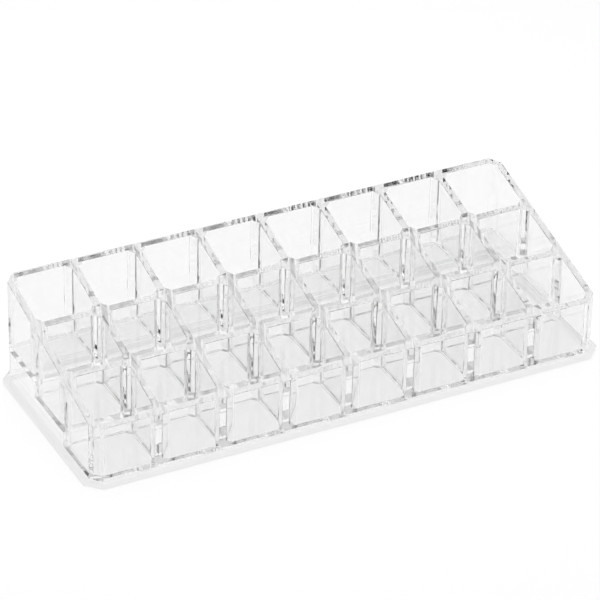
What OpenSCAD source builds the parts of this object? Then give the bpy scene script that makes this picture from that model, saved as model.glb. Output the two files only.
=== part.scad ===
// Clear stepped organizer: three rows of square pockets rising to the back,
// built from flat panels bonded face to face, with a thin rim round the foot.
// X runs along the rows, the front faces -Y, and the foot stands on Z = 0.

/* [Pockets] */
// Clear width and depth of one pocket
pocket = 26; // [20:0.5:40]
// Number of pockets in each row
columns = 8; // [2:1:12]
// Leg of the 45 degree cut in each upright pocket corner
pocket_cut = 2.5; // [1:0.25:6]
// Rise from one row's floor to the next row's floor
floor_step = 7.25; // [5:0.25:9]

/* [Panels] */
// Thickness of the walls and dividers
wall = 3; // [2:0.25:5]
// Thickness of the pocket floors
floor_t = 3; // [2:0.25:5]
// Height of the sloping top at the front face
front_top = 27.5; // [26:0.5:45]
// Height of the sloping top at the back face
back_top = 51; // [46:0.5:80]
// Leg of the 45 degree cut on the upright outer corners
body_cut = 4.25; // [1:0.25:6]

/* [Rim] */
// Distance the rim stands out from the walls
rim_out = 2.75; // [1:0.25:8]
// Height of the rim
rim_h = 2; // [1:0.25:6]
// Leg of the 45 degree cut on the rim's corners
rim_cut = 6; // [2:0.25:9]

/* [Hidden] */
// The rows from the front to the back
ROWS = ["front", "middle", "back"];

CLEAR = [0.84, 0.89, 0.9, 0.5];
rows = len(ROWS);
pitch = pocket + wall;
inner_l = columns * pitch - wall;
body_l = inner_l + wall * 2;
body_d = rows * pitch + wall;
y_front = -body_d / 2;
// Distance a cutting shape runs past what it cuts
over = 1;

// Front limit of a row's pockets
function row_y(row) = y_front + wall + row * pitch;

// Level that the pockets of a row stand on
function floor_top(row) = floor_t + row * floor_step;

// Height of the sloping top at a depth
function top_at(y) = front_top + (back_top - front_top) * (y - y_front) / body_d;

// Everything below the sloping top
module under_top() {
    low_y = y_front - over;
    high_y = y_front + body_d + over;
    side = [[low_y, -over], [high_y, -over], [high_y, top_at(high_y)], [low_y, top_at(low_y)]];
    rotate([90, 0, 90])
        linear_extrude(height = body_l + over * 2, center = true)
            polygon(side);
}

// Raises a plan from a level up to the sloping top
module upright(level) {
    intersection() {
        translate([0, 0, level])
            linear_extrude(height = back_top + over - level)
                children();
        under_top();
    }
}

// Plan of a rectangle whose corners are cut at 45 degrees
module cut_rectangle(length, depth, cut) {
    x = length / 2;
    y = depth / 2;
    polygon([
        [cut - x, -y], [x - cut, -y], [x, cut - y], [x, y - cut],
        [x - cut, y], [cut - x, y], [-x, y - cut], [-x, cut - y]
    ]);
}

// The part of the body's plan that lies in a rectangle
module body_plan(x, y, length, depth) {
    intersection() {
        cut_rectangle(body_l, body_d, body_cut);
        translate([x, y]) square([length, depth]);
    }
}

// Plan of one rim strip along X, mitred at both ends; run and reach are half the body's sizes
module rim_plan(run, reach) {
    outer_run = run + rim_out;
    outer_reach = reach + rim_out;
    half = [
        [outer_run - rim_cut, -outer_reach],
        [outer_run - rim_cut / 2, rim_cut / 2 - outer_reach],
        [run - body_cut / 2, body_cut / 2 - reach],
        [run - body_cut, -reach]
    ];
    mirrored = [for (i = [len(half) - 1 : -1 : 0]) [-half[i][0], half[i][1]]];
    polygon(concat(half, mirrored));
}

// A rim strip, turned to its side of the body
module rim_strip(turn, run, reach) {
    color(CLEAR)
        rotate([0, 0, turn])
            linear_extrude(height = rim_h)
                rim_plan(run, reach);
}

module rim_front() {
    rim_strip(0, body_l / 2, body_d / 2);
}

module rim_right() {
    rim_strip(90, body_d / 2, body_l / 2);
}

module rim_back() {
    rim_strip(180, body_l / 2, body_d / 2);
}

module rim_left() {
    rim_strip(270, body_d / 2, body_l / 2);
}

module front_wall() {
    color(CLEAR)
        upright(0)
            body_plan(-body_l / 2, y_front, body_l, wall);
}

module back_wall() {
    color(CLEAR)
        upright(0)
            body_plan(-body_l / 2, y_front + body_d - wall, body_l, wall);
}

// Triangles that cut the pocket corners of one row beside an end wall
module end_corners(row) {
    x = -inner_l / 2;
    for (corner = [[row_y(row), 1], [row_y(row) + pocket, -1]])
        polygon([
            [x, corner[0]],
            [x + pocket_cut, corner[0]],
            [x, corner[0] + corner[1] * pocket_cut]
        ]);
}

module left_end_wall() {
    color(CLEAR)
        union() {
            upright(0)
                body_plan(-body_l / 2, y_front + wall, wall, body_d - wall * 2);
            for (row = [0 : rows - 1])
                upright(floor_top(row))
                    end_corners(row);
        }
}

module right_end_wall() {
    mirror([1, 0, 0]) left_end_wall();
}

// Wall behind a row, standing on that row's floor
module row_wall(row) {
    color(CLEAR)
        upright(floor_top(row))
            translate([-inner_l / 2, row_y(row) + pocket])
                square([inner_l, wall]);
}

// Floor of a row, reaching under the row wall that stands on it
module floor_panel(row) {
    depth = row < rows - 1 ? pocket + wall : pocket;
    color(CLEAR)
        translate([-inner_l / 2, row_y(row), floor_top(row) - floor_t])
            cube([inner_l, depth, floor_t]);
}

// Divider between two pockets of a row, flared at both ends into the pocket corners
module divider(row, i) {
    thin = wall / 2;
    wide = thin + pocket_cut;
    color(CLEAR)
        upright(floor_top(row))
            translate([(i - columns / 2) * pitch, row_y(row)])
                polygon([
                    [-wide, 0], [wide, 0], [thin, pocket_cut], [thin, pocket - pocket_cut],
                    [wide, pocket], [-wide, pocket], [-thin, pocket - pocket_cut], [-thin, pocket_cut]
                ]);
}

rim_front();
rim_right();
rim_back();
rim_left();
front_wall();
back_wall();
left_end_wall();
right_end_wall();
row_wall(0);  // row_wall_front
row_wall(1);  // row_wall_rear
for (row = [0 : rows - 1])
    floor_panel(row);
for (row = [0 : rows - 1])
    for (i = [1 : columns - 1])
        divider(row, i);
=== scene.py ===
"""Clear stepped organizer: the visual model around its CAD frame.

One united surface with eased edges is built first. Each panel of the frame is then cut out of it as
a closed piece. Where panels meet, their faces are glued joints, which can't be seen.
"""

import logging
import math
from dataclasses import dataclass, field
from enum import Enum
from itertools import product
from typing import Iterable

import bmesh
import bpy
from mathutils import Matrix, Vector
from mathutils.bvhtree import BVHTree


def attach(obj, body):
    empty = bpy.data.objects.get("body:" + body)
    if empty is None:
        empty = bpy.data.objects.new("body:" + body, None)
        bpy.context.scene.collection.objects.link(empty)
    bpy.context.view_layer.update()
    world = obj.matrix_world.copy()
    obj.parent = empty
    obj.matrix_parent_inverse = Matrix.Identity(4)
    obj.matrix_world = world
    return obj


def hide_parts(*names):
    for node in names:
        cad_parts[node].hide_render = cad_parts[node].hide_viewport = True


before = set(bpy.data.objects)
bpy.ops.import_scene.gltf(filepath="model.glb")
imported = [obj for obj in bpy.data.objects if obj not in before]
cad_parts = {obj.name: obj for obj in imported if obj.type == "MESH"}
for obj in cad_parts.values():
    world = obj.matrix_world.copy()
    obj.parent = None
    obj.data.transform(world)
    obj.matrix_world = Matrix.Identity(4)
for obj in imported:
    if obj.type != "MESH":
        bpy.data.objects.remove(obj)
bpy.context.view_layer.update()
log = logging.getLogger("organizer")

MM = 0.001
# Two places closer than this are one
HAIR = MM / 100
# How far a cutting block runs past the body
BEYOND = 5 * MM
# How far it runs past a floor's underside, or into another block
OVERLAP = 1 * MM
# Both directions along an axis
SIDES = (-1, 1)
BODY = "root"
Point = tuple[float, float]
Place = tuple[float, float, float]
MIRROR_X = Matrix.Diagonal((-1, 1, 1, 1))
MIRROR_Y = Matrix.Diagonal((1, -1, 1, 1))


def snapped(point: Iterable[float]) -> Place:
    """Rounds a point to a tenth of a micrometre, so that faces meant to be level are.

    Args:
        point: Three coordinates in metres.

    Returns:
        The rounded coordinates.
    """
    x, y, z = (round(value, 7) for value in point)
    return x, y, z


@dataclass(frozen=True)
class Layout:
    """Sizes of the organizer in metres, as in the part's source."""

    pocket: float = 26 * MM
    wall: float = 3 * MM
    columns: int = 8
    rows: tuple[str, ...] = ("front", "middle", "back")
    pocket_cut: float = 2.5 * MM
    floor_step: float = 7.25 * MM
    floor_t: float = 3 * MM
    front_top: float = 27.5 * MM
    back_top: float = 51 * MM
    body_cut: float = 4.25 * MM
    rim_out: float = 2.75 * MM
    rim_h: float = 2 * MM
    rim_cut: float = 6 * MM

    @property
    def pitch(self) -> float:
        """Distance between the centres of neighbouring pockets."""
        return self.pocket + self.wall

    @property
    def inner_x(self) -> float:
        """Half the length between the end walls."""
        return (self.columns * self.pitch - self.wall) / 2

    @property
    def inner_y(self) -> float:
        """Half the depth between the front and back walls."""
        return (len(self.rows) * self.pitch - self.wall) / 2

    @property
    def half_x(self) -> float:
        """Half the body's length."""
        return self.inner_x + self.wall

    @property
    def half_y(self) -> float:
        """Half the body's depth."""
        return self.inner_y + self.wall

    def pocket_x(self, column: int) -> float:
        """Left limit of a column's pockets."""
        return column * self.pitch - self.inner_x

    def row_y(self, row: int) -> float:
        """Front limit of a row's pockets."""
        return row * self.pitch + self.wall - self.half_y

    def floor_top(self, row: int) -> float:
        """Level that the pockets of a row stand on."""
        return self.floor_t + row * self.floor_step

    def top_at(self, y: float) -> float:
        """Height of the sloping top at a depth."""
        share = (y + self.half_y) / (2 * self.half_y)
        return self.front_top + (self.back_top - self.front_top) * share

    @property
    def top_normal(self) -> Vector:
        """Direction that the sloping top faces."""
        return Vector((0, self.front_top - self.back_top, 2 * self.half_y)).normalized()

    def outline(self, out: float = 0.0, cut: float | None = None) -> list[Point]:
        """Plan of the body, or of the rim round it.

        Args:
            out: How far the outline stands out from the body.
            cut: Leg of its 45 degree corner cuts.

        Returns:
            Eight points, counter-clockwise from the left end of the front edge.
        """
        x, y = self.half_x + out, self.half_y + out
        return cut_rectangle(-x, x, -y, y, self.body_cut if cut is None else cut)

    def well(self, row: int, column: int) -> list[Point]:
        """Plan of one pocket with its cut corners."""
        x, y = self.pocket_x(column), self.row_y(row)
        return cut_rectangle(x, x + self.pocket, y, y + self.pocket, self.pocket_cut)


def between(a: Point, b: Point, share: float) -> Point:
    """The point at a share of the way from one point to another."""
    return a[0] + (b[0] - a[0]) * share, a[1] + (b[1] - a[1]) * share


def chamfered(plan: Iterable[Point], leg: float) -> list[Point]:
    """A plan whose corners are cut off at a distance along both their edges.

    Args:
        plan: Corners of the plan.
        leg: The distance.

    Returns:
        Two points for each corner.
    """
    made: list[Point] = []
    plan = list(plan)
    for before, corner, after in zip(plan[-1:] + plan[:-1], plan, plan[1:] + plan[:1]):
        for other in (before, after):
            made.append(between(corner, other, leg / math.dist(corner, other)))
    return made


def clipped(plan: Iterable[Point], axis: int, limit: float, side: int) -> list[Point]:
    """The part of a convex plan on one side of a line across an axis.

    Args:
        plan: Corners of the plan.
        axis: 0 for a limit along X, 1 for one along Y.
        limit: Where the line crosses the axis.
        side: 1 to keep what lies above the limit, -1 to keep what lies below.

    Returns:
        The corners of that part.
    """
    kept: list[Point] = []
    plan = list(plan)
    for a, b in zip(plan, plan[1:] + plan[:1]):
        before, after = (side * (point[axis] - limit) for point in (a, b))
        if before >= 0:
            kept.append(a)
        if before * after < 0:
            kept.append(between(a, b, before / (before - after)))
    return kept


def cut_rectangle(x0: float, x1: float, y0: float, y1: float, cut: float) -> list[Point]:
    """Plan of a rectangle whose corners are cut at 45 degrees.

    Args:
        x0: Left limit.
        x1: Right limit.
        y0: Front limit.
        y1: Back limit.
        cut: Leg of the cuts.

    Returns:
        Eight points, counter-clockwise from the left end of the front edge.
    """
    return [
        (x0 + cut, y0), (x1 - cut, y0), (x1, y0 + cut), (x1, y1 - cut),
        (x1 - cut, y1), (x0 + cut, y1), (x0, y1 - cut), (x0, y0 + cut),
    ]


def left_side(plan: list[Point]) -> list[Point]:
    """The left half of a plan's points, from the front to the back."""
    middle = sum(x for x, _ in plan) / len(plan)
    return sorted((point for point in plan if point[0] < middle), key=lambda point: point[1])


def rectangle(x0: float, x1: float, y0: float, y1: float) -> tuple[Point, ...]:
    """Plan of a rectangle between its limits, counter-clockwise."""
    return (x0, y0), (x1, y0), (x1, y1), (x0, y1)


class Ease(Enum):
    """Radius in metres that a kind of edge is eased to."""

    POLISHED = 0.35 * MM
    POCKET_CORNER = 0.7 * MM
    POCKET_FOOT = 0.9 * MM
    LEDGE_FOOT = 0.3 * MM
    SHARP = 0.0


# Every eased edge takes its share of this
WIDEST_EASE = max(kind.value for kind in Ease)
# Along a pocket's walls, the dividers and end walls end just past its rounded corners
CORNER_REACH = 1.02 * Ease.POCKET_CORNER.value
# The floors and the rim take the rounded foot above them, up to these heights
POCKET_FOOT_REACH = 2 * Ease.POCKET_FOOT.value
LEDGE_FOOT_REACH = 2 * Ease.LEDGE_FOOT.value


class Finish(Enum):
    """Place of each finish among a panel's materials."""

    ACRYLIC = 0
    GLUED = 1
    GROUND = 2


class SharedMesh:
    """Collects faces whose equal corners become one vertex."""

    def __init__(self) -> None:
        """Starts an empty mesh."""
        self.mesh = bmesh.new()
        self.corners: dict[Place, bmesh.types.BMVert] = {}

    def corner(self, point: Iterable[float]) -> bmesh.types.BMVert:
        """Returns the vertex at a point, made when it is first asked for."""
        key = snapped(point)
        if key not in self.corners:
            self.corners[key] = self.mesh.verts.new(key)
        return self.corners[key]

    def face(self, *points: Iterable[float]) -> None:
        """Adds one flat face through the points."""
        self.mesh.faces.new([self.corner(point) for point in points])

    def prism(self, plan: list[Point], low: float, high: float) -> None:
        """Adds a closed upright solid on a plan.

        Args:
            plan: Corners of the plan, counter-clockwise.
            low: Lower level.
            high: Upper level.
        """
        self.face(*[(x, y, low) for x, y in reversed(plan)])
        self.face(*[(x, y, high) for x, y in plan])
        for (x0, y0), (x1, y1) in zip(plan, plan[1:] + plan[:1]):
            self.face((x0, y0, low), (x1, y1, low), (x1, y1, high), (x0, y0, high))

    def finished(self, name: str) -> bpy.types.Object:
        """Turns the collected faces into an object.

        Args:
            name: Name of the object.

        Returns:
            The object, linked to the scene.
        """
        bmesh.ops.recalc_face_normals(self.mesh, faces=self.mesh.faces)
        mesh = bpy.data.meshes.new(name)
        self.mesh.to_mesh(mesh)
        self.mesh.free()
        made = bpy.data.objects.new(name, mesh)
        bpy.context.scene.collection.objects.link(made)
        return made


def evaluated(made: bpy.types.Object, name: str) -> bpy.types.Mesh:
    """Applies an object's modifiers.

    Args:
        made: The object with its modifiers.
        name: Name of the new mesh.

    Returns:
        A mesh of its own with the modifiers' result.
    """
    graph = bpy.context.evaluated_depsgraph_get()
    mesh = bpy.data.meshes.new_from_object(made.evaluated_get(graph))
    mesh.name = name
    return mesh


@dataclass
class UnitedBody:
    """The outside of all the panels together, as one closed surface with eased edges."""

    lay: Layout
    segments: int = 3
    flattest: float = math.radians(20)
    skin: SharedMesh = field(default_factory=SharedMesh)

    def build(self) -> bpy.types.Object:
        """Builds the surface and eases its edges.

        Returns:
            An object that the panels are cut from. It isn't a piece itself.
        """
        self.add_top()
        self.add_wells()
        self.add_outside()
        self.add_underside()
        self.weigh_edges()
        made = self.skin.finished("united_body")
        ease = made.modifiers.new("ease", "BEVEL")
        ease.limit_method = "WEIGHT"
        ease.width = WIDEST_EASE
        ease.segments = self.segments
        mesh = evaluated(made, "united_body_eased")
        for vertex in mesh.vertices:
            vertex.co = snapped(vertex.co)
        made.modifiers.clear()
        made.data = mesh
        return made

    def raised(self, point: Point) -> Place:
        """The point of the sloping top over a point of the plan."""
        return (*point, self.lay.top_at(point[1]))

    def plan_lines(self) -> tuple[list[float], list[float]]:
        """Every x and every y at which a pocket or the body's rectangle has a corner."""
        lay = self.lay
        xs = [-lay.half_x, lay.half_x]
        ys = [-lay.half_y, lay.half_y]
        for start in map(lay.pocket_x, range(lay.columns)):
            xs += self.pocket_lines(start)
        for start in map(lay.row_y, range(len(lay.rows))):
            ys += self.pocket_lines(start)
        return sorted(xs), sorted(ys)

    def pocket_lines(self, start: float) -> list[float]:
        """Where a pocket has corners along an axis, from its near limit on."""
        end = start + self.lay.pocket
        return [start, start + self.lay.pocket_cut, end - self.lay.pocket_cut, end]

    def is_open(self, x: float, y: float) -> bool:
        """Whether a point of the plan lies in a pocket's square or in a corner of the body."""
        lay = self.lay
        in_column = any(0 < x - lay.pocket_x(c) < lay.pocket for c in range(lay.columns))
        in_row = any(0 < y - lay.row_y(r) < lay.pocket for r in range(len(lay.rows)))
        in_corner = abs(x) > lay.inner_x - lay.pocket_cut and abs(y) > lay.inner_y - lay.pocket_cut
        return (in_column and in_row) or in_corner

    def add_top(self) -> None:
        """Adds the sloping top with its openings."""
        lay, (xs, ys) = self.lay, self.plan_lines()
        for (x0, x1), (y0, y1) in product(zip(xs, xs[1:]), zip(ys, ys[1:])):
            if not self.is_open((x0 + x1) / 2, (y0 + y1) / 2):
                self.skin.face(*map(self.raised, rectangle(x0, x1, y0, y1)))
        for column, row in product(range(lay.columns), range(len(lay.rows))):
            for side_x, side_y in product(SIDES, SIDES):
                x = lay.pocket_x(column) + lay.pocket * (side_x + 1) / 2
                y = lay.row_y(row) + lay.pocket * (side_y + 1) / 2
                if not self.is_open(x, y):
                    legs = (x - side_x * lay.pocket_cut, y), (x, y - side_y * lay.pocket_cut)
                    self.skin.face(*map(self.raised, [(x, y), *legs]))
        near_x, near_y = lay.inner_x - lay.pocket_cut, lay.inner_y - lay.pocket_cut
        corner = [
            (near_x, lay.inner_y),
            (near_x, lay.half_y),
            (lay.half_x - lay.body_cut, lay.half_y),
            (lay.half_x, lay.half_y - lay.body_cut),
            (lay.half_x, near_y),
            (lay.inner_x, near_y),
        ]
        for side_x, side_y in product(SIDES, SIDES):
            self.skin.face(*[self.raised((side_x * x, side_y * y)) for x, y in corner])

    def add_wells(self) -> None:
        """Adds the walls and the floor of every pocket."""
        lay = self.lay
        for row, column in product(range(len(lay.rows)), range(lay.columns)):
            level, plan = lay.floor_top(row), lay.well(row, column)
            for a, b in zip(plan, plan[1:] + plan[:1]):
                self.skin.face(self.raised(a), self.raised(b), (*b, level), (*a, level))
            self.skin.face(*[(*point, level) for point in plan])

    def add_outside(self) -> None:
        """Adds the walls' outside, the rim's ledge and the rim's outside."""
        lay, (xs, ys) = self.lay, self.plan_lines()
        body = lay.outline()
        rim = lay.outline(lay.rim_out, lay.rim_cut)
        for k, (a, b) in enumerate(zip(body, body[1:] + body[:1])):
            # The plan's sides run front, cut, right, cut, back, cut, left, cut
            stops: list[Point] = []
            if k % 4 == 0:
                stops = [(x, a[1]) for x in xs if abs(x) < lay.half_x - lay.body_cut - HAIR]
            elif k % 4 == 2:
                stops = [(a[0], y) for y in ys if abs(y) < lay.half_y - lay.body_cut - HAIR]
            stops.sort(key=lambda point: math.dist(point, b))
            top = map(self.raised, [b, *stops, a])
            self.skin.face((*a, lay.rim_h), (*b, lay.rim_h), *top)
            c, d = rim[k], rim[(k + 1) % len(rim)]
            self.skin.face((*c, lay.rim_h), (*d, lay.rim_h), (*b, lay.rim_h), (*a, lay.rim_h))
            self.skin.face((*c, 0), (*d, 0), (*d, lay.rim_h), (*c, lay.rim_h))

    def add_underside(self) -> None:
        """Adds the foot and the hollow under the middle and back floors."""
        lay = self.lay
        x, start, step, end = lay.inner_x, lay.row_y(1), lay.row_y(2), lay.inner_y
        low, high = (lay.floor_top(row) - lay.floor_t for row in (1, 2))
        side = [(start, 0), (end, 0), (end, high), (step, high), (step, low), (start, low)]
        for sx in (-x, x):
            self.skin.face(*[(sx, y, z) for y, z in side])
        for (y0, z0), (y1, z1) in zip(side[1:], side[2:] + side[:1]):
            self.skin.face((-x, y0, z0), (x, y0, z0), (x, y1, z1), (-x, y1, z1))
        rim = [(*point, 0) for point in lay.outline(lay.rim_out, lay.rim_cut)]
        front_left, front_right = (-x, start, 0), (x, start, 0)
        back_left, back_right = (-x, end, 0), (x, end, 0)
        self.skin.face(rim[7], front_left, front_right, rim[2], rim[1], rim[0])
        self.skin.face(rim[2], front_right, back_right, rim[3])
        self.skin.face(rim[3], back_right, back_left, rim[6], rim[5], rim[4])
        self.skin.face(rim[6], back_left, front_left, rim[7])

    def weigh_edges(self) -> None:
        """Gives every edge its share of the widest easing."""
        mesh = self.skin.mesh
        bmesh.ops.recalc_face_normals(mesh, faces=mesh.faces)
        weight = mesh.edges.layers.float.new("bevel_weight_edge")
        for edge in mesh.edges:
            edge[weight] = self.kind_of(edge).value / WIDEST_EASE

    def kind_of(self, edge: bmesh.types.BMEdge) -> Ease:
        """Tells how far an edge is eased.

        Args:
            edge: An edge of the surface.

        Returns:
            The kind of easing.
        """
        lay = self.lay
        if edge.calc_face_angle() < self.flattest:
            return Ease.SHARP
        if edge.is_convex:
            return Ease.POLISHED
        a, b = (vertex.co for vertex in edge.verts)
        if abs(a.z - b.z) > HAIR:
            return Ease.POCKET_CORNER if max(a.z, b.z) > lay.front_top else Ease.SHARP
        middle = (a + b) / 2
        for row in range(len(lay.rows)):
            on_floor = abs(middle.z - lay.floor_top(row)) < HAIR
            if on_floor and -HAIR < middle.y - lay.row_y(row) < lay.pocket + HAIR:
                return Ease.POCKET_FOOT
        return Ease.LEDGE_FOOT


@dataclass(frozen=True)
class Block:
    """An upright solid on a plan, which a panel is cut out with."""

    plan: tuple[Point, ...]
    low: float
    high: float


@dataclass
class PanelCutter:
    """Cuts closed panels out of the united body and gives each face its finish.

    A face further than glued_from from the body's surface is a glued joint. Corners closer than
    joined_within are one, and faces that turn by less than level_within are one plane. A normal
    points along a direction when its share of it is over facing, and at the ground when its z is
    below downward. That of a corner cut is level and halfway between X and Y to cut_tolerance.
    """

    lay: Layout
    body: bpy.types.Object
    materials: tuple[bpy.types.Material, ...]
    glued_from: float = 2e-6
    joined_within: float = 2e-7
    level_within: float = math.radians(0.05)
    facing: float = 0.9999
    downward: float = -0.99
    cut_tolerance: float = 0.01

    def __post_init__(self) -> None:
        """Prepares the search for the body's surface."""
        surface = bmesh.new()
        surface.from_mesh(self.body.data)
        self.surface = BVHTree.FromBMesh(surface)
        surface.free()

    def cut(self, name: str, blocks: Iterable[Block]) -> bpy.types.Object:
        """Cuts out the part of the body that lies in some blocks.

        Args:
            name: CAD node that the piece stands for.
            blocks: Upright solids, which may overlap.

        Returns:
            The piece.
        """
        blocks = list(blocks)
        tools = []
        for block in blocks:
            tool = SharedMesh()
            tool.prism(list(block.plan), block.low, block.high)
            tools.append(tool.finished("cutting_block"))
        first = tools[0]
        for other in tools[1:]:
            join = first.modifiers.new("join", "BOOLEAN")
            join.operation, join.solver, join.object = "UNION", "EXACT", other
        region = bpy.data.objects.new("region", evaluated(first, "region"))
        bpy.context.scene.collection.objects.link(region)
        work = bpy.data.objects.new("work", self.body.data.copy())
        bpy.context.scene.collection.objects.link(work)
        keep = work.modifiers.new("keep", "BOOLEAN")
        keep.operation, keep.solver, keep.object = "INTERSECT", "EXACT", region
        mesh = evaluated(work, name + "_panel")
        for spare in (*tools, region, work):
            bpy.data.objects.remove(spare)
        mesh.materials.clear()
        for material in self.materials:
            mesh.materials.append(material)
        self.tidy(mesh, name.startswith("rim") or name.endswith("wall"))
        return self.piece(name, mesh)

    def tidy(self, mesh: bpy.types.Mesh, ground: bool) -> None:
        """Gives every face its finish and joins what lies in one plane.

        Args:
            mesh: A panel fresh from the cut.
            ground: Whether its foot is ground matt.
        """
        panel = bmesh.new()
        panel.from_mesh(mesh)
        bmesh.ops.remove_doubles(panel, verts=panel.verts, dist=self.joined_within)
        for face in panel.faces:
            face.material_index = self.finish_of(face, ground).value
        bmesh.ops.dissolve_limit(
            panel,
            angle_limit=self.level_within,
            verts=panel.verts,
            edges=panel.edges,
            delimit={"MATERIAL"},
        )
        for face in panel.faces:
            face.smooth = self.is_eased(face)
        panel.to_mesh(mesh)
        panel.free()

    def finish_of(self, face: bmesh.types.BMFace, ground: bool) -> Finish:
        """Tells a face's finish from where it lies.

        Args:
            face: A face of a panel.
            ground: Whether the panel's foot is ground matt.

        Returns:
            The finish.
        """
        middle = face.calc_center_median()
        if self.surface.find_nearest(middle)[3] > self.glued_from:
            return Finish.GLUED
        if ground and face.normal.z < self.downward and abs(middle.z) < HAIR:
            return Finish.GROUND
        return Finish.ACRYLIC

    def is_eased(self, face: bmesh.types.BMFace) -> bool:
        """Whether a face is part of a rounded edge: it faces no main direction of the body."""
        normal = face.normal
        straight = max(map(abs, normal)) > self.facing
        sloping = normal.dot(self.lay.top_normal) > self.facing
        turn = abs(abs(normal.x) - abs(normal.y))
        cut = max(abs(normal.z), turn) < self.cut_tolerance
        return not (straight or sloping or cut)

    def piece(self, name: str, mesh: bpy.types.Mesh) -> bpy.types.Object:
        """Shows a panel in place of its CAD node.

        Args:
            name: CAD node that the piece stands for.
            mesh: The panel's mesh.

        Returns:
            The piece, riding on the body.
        """
        made = bpy.data.objects.new(name + "_panel", mesh)
        bpy.context.scene.collection.objects.link(made)
        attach(made, BODY)
        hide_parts(name)
        log.info("%s: %d faces", made.name, len(mesh.polygons))
        return made

    def copied(self, name: str, source: bpy.types.Object, change: Matrix) -> bpy.types.Object:
        """Shows a shifted or mirrored copy of a panel.

        Args:
            name: CAD node that the copy stands for.
            source: Panel to copy.
            change: Where the copy goes.

        Returns:
            The piece.
        """
        mesh = source.data.copy()
        mesh.name = name + "_panel"
        mesh.transform(change)
        if change.determinant() < 0:
            mesh.flip_normals()
        return self.piece(name, mesh)


@dataclass
class Rim:
    """The four mitred strips round the foot."""

    lay: Layout
    cutter: PanelCutter

    def strip(self, run: float, reach: float, turned: bool) -> Block:
        """Block that holds one strip, up to its mitres.

        Args:
            run: Half the body's size along the strip.
            reach: Half the body's size across it.
            turned: Whether the strip runs along Y, at the left.

        Returns:
            The block.
        """
        cut = self.lay.body_cut
        mitre_x, mitre_y = run - cut / 2, cut / 2 - reach
        half = [(run - cut, -reach), (mitre_x, mitre_y), (mitre_x + BEYOND, mitre_y - BEYOND)]
        plan = [(-x, y) for x, y in half] + half[::-1]
        if turned:
            plan = [(y, -x) for x, y in plan]
        return Block(tuple(plan), -BEYOND, self.lay.rim_h + LEDGE_FOOT_REACH)

    def build(self) -> None:
        """Cuts the front and left strips and mirrors them."""
        lay = self.lay
        front = self.cutter.cut("rim_front", [self.strip(lay.half_x, lay.half_y, False)])
        left = self.cutter.cut("rim_left", [self.strip(lay.half_y, lay.half_x, True)])
        self.cutter.copied("rim_back", front, MIRROR_Y)
        self.cutter.copied("rim_right", left, MIRROR_X)


@dataclass
class Shell:
    """The four outer walls."""

    lay: Layout
    cutter: PanelCutter

    def build(self) -> None:
        """Cuts the front, back and left walls and mirrors the left one."""
        lay = self.lay
        high = lay.back_top + BEYOND
        front = clipped(lay.outline(), 1, -lay.inner_y, -1)
        back = clipped(lay.outline(), 1, lay.inner_y, 1)
        self.cutter.cut("front_wall", [Block(tuple(front), -BEYOND, high)])
        self.cutter.cut("back_wall", [Block(tuple(back), -BEYOND, high)])
        middle = clipped(clipped(lay.outline(), 1, -lay.inner_y, 1), 1, lay.inner_y, -1)
        left = [Block(tuple(clipped(middle, 0, -lay.inner_x, -1)), -BEYOND, high)]
        for row in range(len(lay.rows)):
            left += self.corners(row, high)
        wall = self.cutter.cut("left_end_wall", left)
        self.cutter.copied("right_end_wall", wall, MIRROR_X)

    def corners(self, row: int, high: float) -> list[Block]:
        """Blocks of the corner strips of one row beside the left wall, reaching into the wall.

        Args:
            row: The row.
            high: Level above the top.

        Returns:
            The front and the back corner's block.
        """
        lay = self.lay
        level, deep = lay.floor_top(row), -lay.inner_x - lay.wall / 2
        near, far = lay.row_y(row), lay.row_y(row) + lay.pocket
        side = left_side(chamfered(lay.well(row, 0), CORNER_REACH))
        half = len(side) // 2
        front, back = side[:half], side[half:]
        return [
            Block(((deep, near), *front, (deep, front[-1][1])), level, high),
            Block(((deep, back[0][1]), *back, (deep, far)), level, high),
        ]


@dataclass
class PocketRows:
    """The floors, the row walls between them and the dividers on them."""

    lay: Layout
    cutter: PanelCutter

    def build(self) -> None:
        """Cuts every row's panels."""
        for row in range(len(self.lay.rows)):
            self.add_floor(row)
            self.add_dividers(row)
            if row < len(self.lay.rows) - 1:
                self.add_row_wall(row)

    def add_floor(self, row: int) -> None:
        """Cuts a floor with the rounded foot of its pockets.

        Args:
            row: The row.
        """
        lay = self.lay
        last = row == len(lay.rows) - 1
        level, near = lay.floor_top(row), lay.row_y(row)
        depth = lay.pocket if last else lay.pitch
        low = level - lay.floor_t - OVERLAP
        blocks = [Block(rectangle(-lay.inner_x, lay.inner_x, near, near + depth), low, level)]
        for column in range(lay.columns):
            plan = chamfered(lay.well(row, column), CORNER_REACH)
            blocks.append(Block(tuple(plan), level - OVERLAP, level + POCKET_FOOT_REACH))
        self.cutter.cut(f"{lay.rows[row]}_floor", blocks)

    def add_row_wall(self, row: int) -> None:
        """Cuts the wall behind a row.

        Args:
            row: The row.
        """
        lay = self.lay
        near = lay.row_y(row) + lay.pocket
        plan = rectangle(-lay.inner_x, lay.inner_x, near, near + lay.wall)
        name = ("row_wall_front", "row_wall_rear")[row]
        self.cutter.cut(name, [Block(plan, lay.floor_top(row), lay.back_top + BEYOND)])

    def add_dividers(self, row: int) -> None:
        """Cuts a row's first divider and repeats it along the row.

        Args:
            row: The row.
        """
        lay = self.lay
        middle = lay.pocket_x(1) - lay.wall / 2
        right = left_side(chamfered(lay.well(row, 1), CORNER_REACH))
        plan = right + [(2 * middle - x, y) for x, y in reversed(right)]
        stem = f"divider_{lay.rows[row]}_"
        block = Block(tuple(plan), lay.floor_top(row), lay.back_top + BEYOND)
        first = self.cutter.cut(stem + "1", [block])
        for number in range(2, lay.columns):
            shift = Matrix.Translation(((number - 1) * lay.pitch, 0, 0))
            self.cutter.copied(stem + str(number), first, shift)


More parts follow.
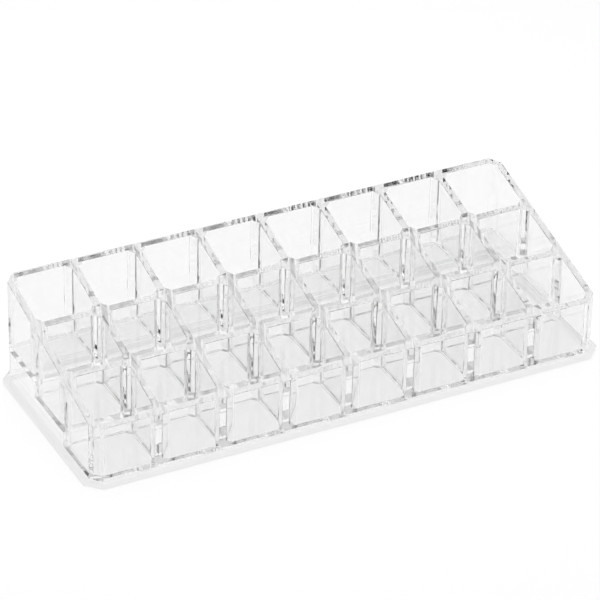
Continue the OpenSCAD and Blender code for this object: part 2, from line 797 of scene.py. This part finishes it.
class Graph:
    """The nodes of one material or world."""

    def __init__(self, owner: bpy.types.ID) -> None:
        """Empties the owner's node tree."""
        owner.use_nodes = True
        self.tree = owner.node_tree
        self.tree.nodes.clear()

    def node(self, kind: str, settings: dict | None = None, **inputs: object) -> bpy.types.Node:
        """Adds a node.

        Args:
            kind: The node's type.
            settings: The node's own settings, set first. The key stops holds a ramp's stops.
            inputs: Values or links of its sockets, by name with _ for a space, or i0, i1 by place.

        Returns:
            The node.
        """
        made = self.tree.nodes.new(kind)
        for name, value in (settings or {}).items():
            if name == "stops":
                self.set_stops(made.color_ramp, value)
            else:
                setattr(made, name, value)
        for name, value in inputs.items():
            by_place = name[0] == "i" and name[1:].isdigit()
            socket = made.inputs[int(name[1:]) if by_place else name.replace("_", " ")]
            if isinstance(value, Value):
                value = value.socket
            if isinstance(value, bpy.types.NodeSocket):
                self.tree.links.new(value, socket)
            else:
                socket.default_value = value
        return made

    def set_stops(self, ramp: bpy.types.ColorRamp, stops: list[tuple[float, float]]) -> None:
        """Sets a ramp's grey stops."""
        while len(ramp.elements) > 1:
            ramp.elements.remove(ramp.elements[-1])
        for k, (position, grey) in enumerate(stops):
            element = ramp.elements[0] if k == 0 else ramp.elements.new(position)
            element.position = position
            element.color = (grey, grey, grey, 1)

    def value(self, socket: bpy.types.NodeSocket) -> "Value":
        """Wraps a socket for shader maths."""
        return Value(self, socket)


class Value:
    """A number socket that takes Python's operators."""

    def __init__(self, graph: Graph, socket: bpy.types.NodeSocket) -> None:
        """Keeps the graph and the socket."""
        self.graph, self.socket = graph, socket

    def math(self, operation: str, *others: "Value | float") -> "Value":
        """Adds a Math node.

        Args:
            operation: The node's operation.
            others: Its values or links.

        Returns:
            The result.
        """
        links = {f"i{k}": other for k, other in enumerate(others)}
        made = self.graph.node("ShaderNodeMath", {"operation": operation}, **links)
        return Value(self.graph, made.outputs[0])

    def __add__(self, other: "Value | float") -> "Value":
        """Sum."""
        return self.math("ADD", self, other)

    __radd__ = __add__

    def __mul__(self, other: "Value | float") -> "Value":
        """Product."""
        return self.math("MULTIPLY", self, other)

    __rmul__ = __mul__

    def __sub__(self, other: "Value | float") -> "Value":
        """Difference."""
        return self.math("SUBTRACT", self, other)

    def __rsub__(self, other: "Value | float") -> "Value":
        """Difference, the other way round."""
        return self.math("SUBTRACT", other, self)

    def either(self, other: "Value") -> "Value":
        """The larger of two values."""
        return self.math("MAXIMUM", self, other)


@dataclass(frozen=True)
class ClearAcrylic:
    """Polished clear acrylic: faint waviness, hairline marks and a breath of grey.

    The hairline marks run two ways: each way has a turn in radians and the density of its noise
    per metre along three axes. A mark shows where the noise is above mark_from.
    """

    tint: tuple[float, float, float] = (0.948, 0.951, 0.949)
    refraction: float = 1.49
    polish: float = 0.01
    passed: float = 0.98
    wave_size: float = 9 * MM
    wave_height: float = 0.008 * MM
    mark_ways: tuple[tuple[float, Place], ...] = (
        (0.4, (2600.0, 60.0, 90.0)),
        (-0.9, (70.0, 2100.0, 80.0)),
    )
    mark_tilt: float = 0.3
    mark_from: float = 0.68
    mark_full: float = 0.78
    mark_haze: float = 0.05

    def material(self) -> bpy.types.Material:
        """Builds the material.

        Returns:
            The material.
        """
        made = bpy.data.materials.new("clear_acrylic")
        graph = Graph(made)
        place = graph.node("ShaderNodeTexCoord").outputs["Object"]
        waves = graph.node("ShaderNodeTexNoise", Vector=place, Scale=1 / self.wave_size, Detail=1.0)
        bump = graph.node(
            "ShaderNodeBump", Strength=1.0, Distance=self.wave_height, Height=waves.outputs["Fac"]
        )
        surface = graph.node(
            "ShaderNodeBsdfPrincipled",
            Base_Color=(*self.tint, 1),
            Roughness=self.marks(graph, place) * self.mark_haze + self.polish,
            IOR=self.refraction,
            Transmission_Weight=1.0,
            Normal=bump.outputs["Normal"],
        )
        rays = graph.node("ShaderNodeLightPath").outputs
        light = graph.value(rays["Is Shadow Ray"]).either(graph.value(rays["Is Diffuse Ray"]))
        passed = (self.passed, self.passed, self.passed, 1)
        clear = graph.node("ShaderNodeBsdfTransparent", Color=passed)
        mixed = graph.node(
            "ShaderNodeMixShader", i0=light, i1=surface.outputs[0], i2=clear.outputs[0]
        )
        graph.node("ShaderNodeOutputMaterial", Surface=mixed.outputs[0])
        return made

    def marks(self, graph: Graph, place: bpy.types.NodeSocket) -> Value:
        """Sparse hairline marks, thin across and long along.

        Args:
            graph: Where the nodes go.
            place: Coordinates on the piece, in metres.

        Returns:
            A mask, 1 on a mark.
        """
        ways: list[Value] = []
        for turn, scale in self.mark_ways:
            rotation = (self.mark_tilt, turn, turn)
            aimed = graph.node("ShaderNodeMapping", Vector=place, Rotation=rotation, Scale=scale)
            noise = graph.node("ShaderNodeTexNoise", Vector=aimed.outputs[0], Scale=1.0, Detail=0.0)
            line = graph.node(
                "ShaderNodeMapRange",
                {"clamp": True},
                Value=noise.outputs["Fac"],
                From_Min=self.mark_from,
                From_Max=self.mark_full,
            )
            ways.append(graph.value(line.outputs[0]))
        return ways[0].either(ways[1])


@dataclass(frozen=True)
class GluedJoint:
    """A joint bonded with clear solvent cement, which can't be seen."""

    def material(self) -> bpy.types.Material:
        """Builds the material.

        Returns:
            The material.
        """
        made = bpy.data.materials.new("glued_joint")
        graph = Graph(made)
        clear = graph.node("ShaderNodeBsdfTransparent", Color=(1, 1, 1, 1))
        graph.node("ShaderNodeOutputMaterial", Surface=clear.outputs[0])
        return made


@dataclass(frozen=True)
class GroundFoot:
    """Matt ground acrylic: the undersides of the rim and of the outer walls."""

    grey: float = 0.8
    grain_size: float = 0.2 * MM
    grain_contrast: float = 0.06
    roughness: float = 0.9
    refraction: float = 1.49

    def material(self) -> bpy.types.Material:
        """Builds the material.

        Returns:
            The material.
        """
        made = bpy.data.materials.new("ground_foot")
        graph = Graph(made)
        place = graph.node("ShaderNodeTexCoord").outputs["Object"]
        scale = 1 / self.grain_size
        grain = graph.node("ShaderNodeTexNoise", Vector=place, Scale=scale, Detail=1.0)
        shift = self.grain_contrast / 2
        dark, pale = ((grey, grey, grey, 1) for grey in (self.grey - shift, self.grey + shift))
        shade = graph.node(
            "ShaderNodeMix", {"data_type": "RGBA"}, i0=grain.outputs["Fac"], i6=dark, i7=pale
        )
        surface = graph.node(
            "ShaderNodeBsdfPrincipled",
            Base_Color=shade.outputs[2],
            Roughness=self.roughness,
            IOR=self.refraction,
        )
        graph.node("ShaderNodeOutputMaterial", Surface=surface.outputs[0])
        return made


@dataclass(frozen=True)
class PaleFloor:
    """Plain matt white studio floor."""

    grey: float = 0.9

    def material(self) -> bpy.types.Material:
        """Builds the material.

        Returns:
            The material.
        """
        made = bpy.data.materials.new("pale_floor")
        graph = Graph(made)
        matt = graph.node("ShaderNodeBsdfDiffuse", Color=(self.grey, self.grey, self.grey, 1))
        graph.node("ShaderNodeOutputMaterial", Surface=matt.outputs[0])
        return made


@dataclass(frozen=True)
class SoftPanel:
    """A round panel with a soft edge in the studio's surroundings: a light, or a dark screen.

    The angles are in degrees: the azimuth from the front towards the right, the elevation above
    the floor, and the reach from the panel's middle to the middle of its soft edge. The softness is
    the share of the reach that the edge fades over, on either side.
    """

    azimuth: float
    elevation: float
    reach: float
    glow: float
    softness: float = 0.35

    @property
    def towards(self) -> Vector:
        """Direction in which the panel stands."""
        azimuth, elevation = math.radians(self.azimuth), math.radians(self.elevation)
        flat = math.cos(elevation)
        return Vector((math.sin(azimuth) * flat, -math.cos(azimuth) * flat, math.sin(elevation)))

    def added(self, graph: Graph, direction: bpy.types.NodeSocket, light: Value) -> Value:
        """Lays the panel over the light that comes from behind it.

        Args:
            graph: Where the nodes go.
            direction: Direction of view.
            light: Brightness without the panel.

        Returns:
            Brightness with the panel.
        """
        turn = graph.node(
            "ShaderNodeVectorMath", {"operation": "DOT_PRODUCT"}, i0=direction, i1=self.towards
        )
        cosine = graph.value(turn.outputs["Value"])
        reach = math.radians(self.reach)
        cover = graph.node(
            "ShaderNodeMapRange",
            {"interpolation_type": "SMOOTHSTEP"},
            Value=cosine.math("ARCCOSINE", cosine),
            From_Min=reach * (1 + self.softness),
            From_Max=reach * (1 - self.softness),
        )
        covered = graph.value(cover.outputs[0])
        return light * (1 - covered) + covered * self.glow


@dataclass(frozen=True)
class Studio:
    """Floor, softbox, surroundings and camera.

    The sky holds pairs of a height, from 0 level with the floor to 1 overhead, and the brightness
    there. The camera stands at an azimuth and elevation in degrees from the point that it aims at,
    and its focal length is in pixels of the picture. The numbers of the sky, the panels and the
    camera were fitted to the photograph by other programs and then rounded. Light takes up to
    through_bounces through the acrylic, gloss_bounces off it and clear_bounces through joints.
    """

    floor_half: float = 4.0
    floor_gap: float = 0.1 * MM
    overhead_place: Place = (0, 0.1, 1.3)
    overhead_power: float = 14.2
    overhead_size: float = 1.2
    sky: tuple[tuple[float, float], ...] = ((0.0, 0.95), (0.5, 0.13), (1.0, 0.15))
    panels: tuple[SoftPanel, ...] = (
        SoftPanel(10, 46, 29, 1.1),
        SoftPanel(186, 48, 25, 1.25),
        SoftPanel(131, 23, 24, 0.85),
        SoftPanel(275, 39, 45, 0.02),
        SoftPanel(64, 51, 21, 0.6),
    )
    focal: float = 3739.5
    picture: float = 600.0
    sensor: float = 36.0
    azimuth: float = -27.553
    elevation: float = 32.069
    roll: float = 1.32
    distance: float = 1586.4 * MM
    aim: Place = (4 * MM, 11.315 * MM, 25.536 * MM)
    nearest: float = 0.05
    furthest: float = 50.0
    through_bounces: int = 32
    gloss_bounces: int = 16
    clear_bounces: int = 64

    def build(self) -> None:
        """Builds the studio."""
        self.add_floor()
        self.add_surroundings()
        self.add_softbox()
        self.add_camera()
        scene = bpy.context.scene
        scene.view_settings.view_transform = "Standard"
        scene.cycles.max_bounces = self.through_bounces
        scene.cycles.transmission_bounces = self.through_bounces
        scene.cycles.glossy_bounces = self.gloss_bounces
        scene.cycles.transparent_max_bounces = self.clear_bounces
        scene.cycles.caustics_reflective = False
        scene.cycles.caustics_refractive = False

    def add_floor(self) -> None:
        """Adds the floor."""
        floor = SharedMesh()
        half, level = self.floor_half, -self.floor_gap
        floor.face(*[(x, y, level) for x, y in rectangle(-half, half, -half, half)])
        made = floor.finished("studio_floor")
        made.data.materials.append(PaleFloor().material())

    def add_softbox(self) -> None:
        """Adds a square softbox overhead that faces the organizer and isn't mirrored in it."""
        light = bpy.data.lights.new("overhead_softbox", "AREA")
        light.size, light.energy = self.overhead_size, self.overhead_power
        lamp = bpy.data.objects.new("overhead_softbox", light)
        lamp.location = self.overhead_place
        lamp.rotation_euler = (-lamp.location).to_track_quat("-Z", "Y").to_euler()
        lamp.visible_glossy = lamp.visible_transmission = False
        bpy.context.scene.collection.objects.link(lamp)

    def add_surroundings(self) -> None:
        """Adds a pale studio that is bright near the floor, with soft panels round it."""
        world = bpy.data.worlds.new("studio")
        bpy.context.scene.world = world
        graph = Graph(world)
        direction = graph.node("ShaderNodeTexCoord").outputs["Generated"]
        height = graph.value(graph.node("ShaderNodeSeparateXYZ", Vector=direction).outputs["Z"])
        stops = [((at + 1) / 2, grey) for at, grey in self.sky]
        ramp = graph.node("ShaderNodeValToRGB", {"stops": stops}, Fac=height * 0.5 + 0.5)
        light = graph.value(ramp.outputs[0])
        for panel in self.panels:
            light = panel.added(graph, direction, light)
        back = graph.node("ShaderNodeBackground", Color=light, Strength=1.0)
        graph.node("ShaderNodeOutputWorld", Surface=back.outputs[0])

    def add_camera(self) -> None:
        """Adds the camera at the photograph's viewing angle."""
        azimuth, elevation, roll = map(math.radians, (self.azimuth, self.elevation, self.roll))
        back = Vector((
            math.sin(azimuth) * math.cos(elevation),
            -math.cos(azimuth) * math.cos(elevation),
            math.sin(elevation),
        ))
        level = Vector((math.cos(azimuth), math.sin(azimuth), 0))
        upright = back.cross(level)
        right = level * math.cos(roll) + upright * math.sin(roll)
        up = upright * math.cos(roll) - level * math.sin(roll)
        lens = bpy.data.cameras.new("camera")
        lens.sensor_width = self.sensor
        lens.lens = self.focal / self.picture * self.sensor
        lens.clip_start, lens.clip_end = self.nearest, self.furthest
        camera = bpy.data.objects.new("camera", lens)
        camera.matrix_world = Matrix((right, up, back)).transposed().to_4x4()
        camera.location = Vector(self.aim) + back * self.distance
        bpy.context.scene.collection.objects.link(camera)
        bpy.context.scene.camera = camera


def main() -> None:
    """Builds the organizer and its studio."""
    logging.basicConfig(level=logging.INFO, format="%(name)s: %(message)s")
    lay = Layout()
    body = UnitedBody(lay).build()
    finishes = {
        Finish.ACRYLIC: ClearAcrylic(),
        Finish.GLUED: GluedJoint(),
        Finish.GROUND: GroundFoot(),
    }
    materials = tuple(finishes[finish].material() for finish in Finish)
    cutter = PanelCutter(lay, body, materials)
    for assembly in (Rim, Shell, PocketRows):
        assembly(lay, cutter).build()
        log.info("%s built", assembly.__name__)
    bpy.data.objects.remove(body)
    Studio().build()


if __name__ == "__main__":
    main()
